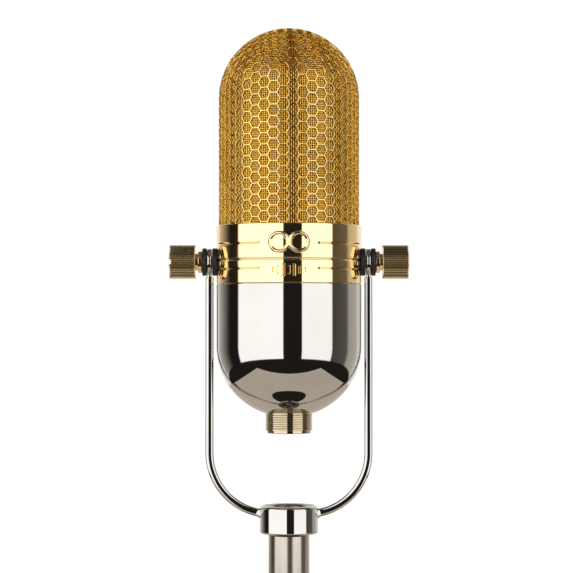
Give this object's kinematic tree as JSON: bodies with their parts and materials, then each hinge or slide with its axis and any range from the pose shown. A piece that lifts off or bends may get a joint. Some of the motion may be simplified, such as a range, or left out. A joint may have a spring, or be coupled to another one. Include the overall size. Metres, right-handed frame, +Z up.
{
  "type": "ribbon microphone",
  "caption": "Round-topped ribbon microphone with a hexagonal grille, tilting in a U yoke on a threaded stand post, with knurled clamping screws.",
  "frame": {"origin": "centre of the stand post's lower end, in the plane of its end face", "axes": "+Z up along the post, -Y towards the front of the microphone, X along the tilt axis"},
  "size_m": [0.1068, 0.0653, 0.2769],
  "materials": {
    "gold": "polished gold plate",
    "gold_mesh": "gold plated woven wire",
    "lining": "fine dark acoustic screen",
    "chrome": "mirror polished",
    "satin_nickel": "satin nickel plate",
    "rubber": "matt black",
    "brass": "turned",
    "contact_gold": "gold plated",
    "steel": "satin zinc plate",
    "magnet": "nickel plated",
    "ribbon_foil": "bright foil",
    "insulator": "black",
    "board_green": "green solder mask",
    "copper": "enamelled wire",
    "wire_red": "red insulation",
    "wire_black": "black insulation",
    "wire_white": "white insulation"
  },
  "bodies": {
    "stand": {"stand_post": "satin_nickel"},
    "yoke": {"stand_collar": "chrome", "yoke_arm_left": "chrome", "yoke_arm_right": "chrome"},
    "mic_body": {"grille_basket": "gold", "band": "gold", "connector_shell": "gold", "grille_mesh": "gold_mesh", "grille_lining": "lining", "lower_cup": "chrome", "inner_washer_left": "rubber", "inner_washer_right": "rubber", "motor_isolator_1": "rubber", "motor_isolator_2": "rubber", "motor_isolator_3": "rubber", "motor_isolator_4": "rubber", "grille_ring": "brass", "pivot_insert_left": "brass", "pivot_insert_right": "brass", "connector_nut": "brass", "clamp_bar_top": "brass", "clamp_bar_bottom": "brass", "board_standoff_1": "brass", "board_standoff_2": "brass", "board_standoff_3": "brass", "connector_pin_1": "contact_gold", "connector_pin_2": "contact_gold", "connector_pin_3": "contact_gold", "chassis_plate": "steel", "motor_frame": "steel", "pole_piece_left": "steel", "pole_piece_right": "steel", "transformer_core": "steel", "transformer_strap": "steel", "chassis_screw_1": "steel", "chassis_screw_2": "steel", "chassis_screw_3": "steel", "clamp_screw_1": "steel", "clamp_screw_2": "steel", "clamp_screw_3": "steel", "clamp_screw_4": "steel", "magnet_left": "magnet", "magnet_right": "magnet", "ribbon": "ribbon_foil", "connector_insert": "insulator", "motor_base": "insulator", "clamp_block_top": "insulator", "clamp_block_bottom": "insulator", "circuit_board": "board_green", "transformer_coil": "copper", "lead_top": "wire_red", "lead_pin_2": "wire_red", "lead_bottom": "wire_black", "lead_pin_1": "wire_black", "lead_pin_3": "wire_white"},
    "washer_left": {"outer_washer_left": "rubber"},
    "screw_left": {"thumbscrew_left": "gold"},
    "washer_right": {"outer_washer_right": "rubber"},
    "screw_right": {"thumbscrew_right": "gold"}
  },
  "joints": [
    {"name": "yoke_pan", "type": "hinge", "parent": "stand", "child": "yoke", "pos_m": [0, 0, 0.0555], "axis": [0, 0, 1], "range_deg": [-180, 180]},
    {"name": "mic_tilt", "type": "hinge", "parent": "yoke", "child": "mic_body", "pos_m": [0, 0, 0.1723], "axis": [1, 0, 0], "continuous": true},
    {"name": "left_screw_travel", "type": "slide", "parent": "mic_body", "child": "washer_left", "axis": [-1, 0, 0], "range_m": [0, 0.0016]},
    {"name": "left_screw_turn", "type": "hinge", "parent": "washer_left", "child": "screw_left", "pos_m": [-0.045, 0, 0.1723], "axis": [-1, 0, 0], "range_deg": [0, 720]},
    {"name": "right_screw_travel", "type": "slide", "parent": "mic_body", "child": "washer_right", "axis": [1, 0, 0], "range_m": [0, 0.0016]},
    {"name": "right_screw_turn", "type": "hinge", "parent": "washer_right", "child": "screw_right", "pos_m": [0.045, 0, 0.1723], "axis": [1, 0, 0], "range_deg": [0, 720]}
  ],
  "couplings": [
    {"joint": "left_screw_turn", "follows": "left_screw_travel", "rad_per_m": 7854},
    {"joint": "right_screw_turn", "follows": "right_screw_travel", "rad_per_m": 7854}
  ]
}
